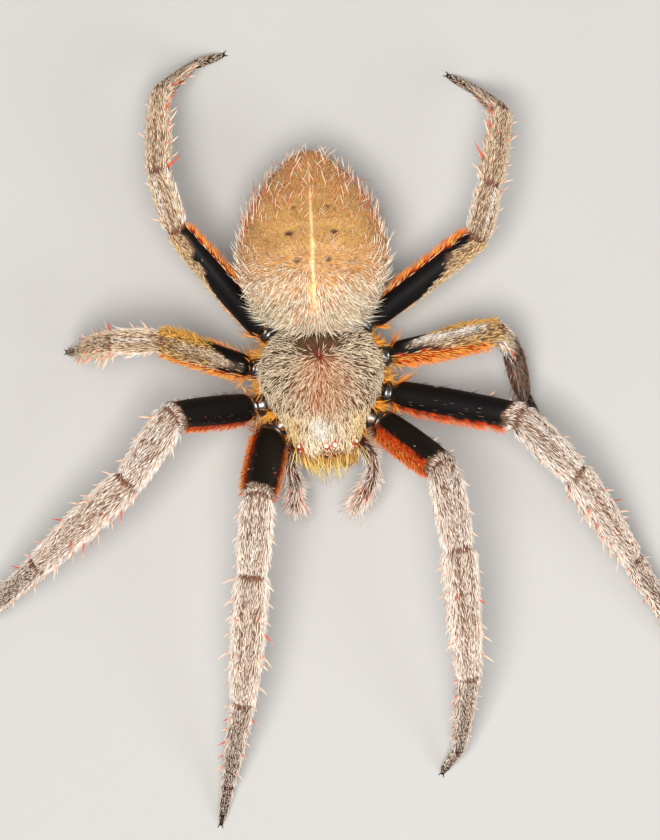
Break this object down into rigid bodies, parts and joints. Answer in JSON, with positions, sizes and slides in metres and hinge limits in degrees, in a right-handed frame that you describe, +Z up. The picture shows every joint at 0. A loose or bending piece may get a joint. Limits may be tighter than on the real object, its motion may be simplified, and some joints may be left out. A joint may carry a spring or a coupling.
{
  "type": "orb weaver spider",
  "caption": "Still, life-size orb weaver spider standing on small flat soles with knees raised: oval hairy abdomen, shield-shaped carapace, glossy black thighs, cream-haired lower legs.",
  "frame": {"origin": "middle of the bounding box, on the floor plane that the soles stand on", "axes": "+Z up through the back, head towards -Y and tail towards +Y, +X on the spider's own left side"},
  "size_m": [0.052, 0.0534, 0.0153],
  "materials": {
    "abdomen_hide": "matt ochre hide under short cream hair",
    "carapace_hair": "grey-brown shell under flat cream and gold hair",
    "leg_hair": "dark brown shell under flat pinkish-cream hair, with red spines",
    "femur_shell": "glossy black shell, orange hair fringe below",
    "coxa_shell": "glossy dark red-brown shell",
    "jaw_shell": "glossy dark red-brown shell with sparse hair",
    "fang_shell": "glossy black-brown",
    "sternum_shell": "dark brown shell with sparse hair",
    "spinneret_skin": "dark red-brown skin",
    "palp_hair": "cream hair with dark specks",
    "eye_shell": "polished near-black"
  },
  "bodies": {
    "root": {"abdomen": "abdomen_hide", "carapace": "carapace_hair", "chelicera_left": "jaw_shell", "chelicera_right": "jaw_shell", "eye_lateral_front_left": "eye_shell", "eye_lateral_front_right": "eye_shell", "eye_lateral_rear_left": "eye_shell", "eye_lateral_rear_right": "eye_shell", "eye_median_front_left": "eye_shell", "eye_median_front_right": "eye_shell", "eye_median_rear_left": "eye_shell", "eye_median_rear_right": "eye_shell", "fang_left": "fang_shell", "fang_right": "fang_shell", "leg_1_left_coxa": "coxa_shell", "leg_1_left_femur": "femur_shell", "leg_1_left_foot": "leg_hair", "leg_1_left_patella": "leg_hair", "leg_1_left_tibia": "leg_hair", "leg_1_right_coxa": "coxa_shell", "leg_1_right_femur": "femur_shell", "leg_1_right_foot": "leg_hair", "leg_1_right_patella": "leg_hair", "leg_1_right_tibia": "leg_hair", "leg_2_left_coxa": "coxa_shell", "leg_2_left_femur": "femur_shell", "leg_2_left_foot": "leg_hair", "leg_2_left_patella": "leg_hair", "leg_2_left_tibia": "leg_hair", "leg_2_right_coxa": "coxa_shell", "leg_2_right_femur": "femur_shell", "leg_2_right_foot": "leg_hair", "leg_2_right_patella": "leg_hair", "leg_2_right_tibia": "leg_hair", "leg_3_left_coxa": "coxa_shell", "leg_3_left_femur": "femur_shell", "leg_3_left_foot": "leg_hair", "leg_3_left_patella": "leg_hair", "leg_3_left_tibia": "leg_hair", "leg_3_right_coxa": "coxa_shell", "leg_3_right_femur": "femur_shell", "leg_3_right_foot": "leg_hair", "leg_3_right_patella": "leg_hair", "leg_3_right_tibia": "leg_hair", "leg_4_left_coxa": "coxa_shell", "leg_4_left_femur": "femur_shell", "leg_4_left_foot": "leg_hair", "leg_4_left_patella": "leg_hair", "leg_4_left_tibia": "leg_hair", "leg_4_right_coxa": "coxa_shell", "leg_4_right_femur": "femur_shell", "leg_4_right_foot": "leg_hair", "leg_4_right_patella": "leg_hair", "leg_4_right_tibia": "leg_hair", "palp_left_base": "palp_hair", "palp_left_tip": "palp_hair", "palp_right_base": "palp_hair", "palp_right_tip": "palp_hair", "spinnerets": "spinneret_skin", "sternum": "sternum_shell"}
  },
  "joints": []
}
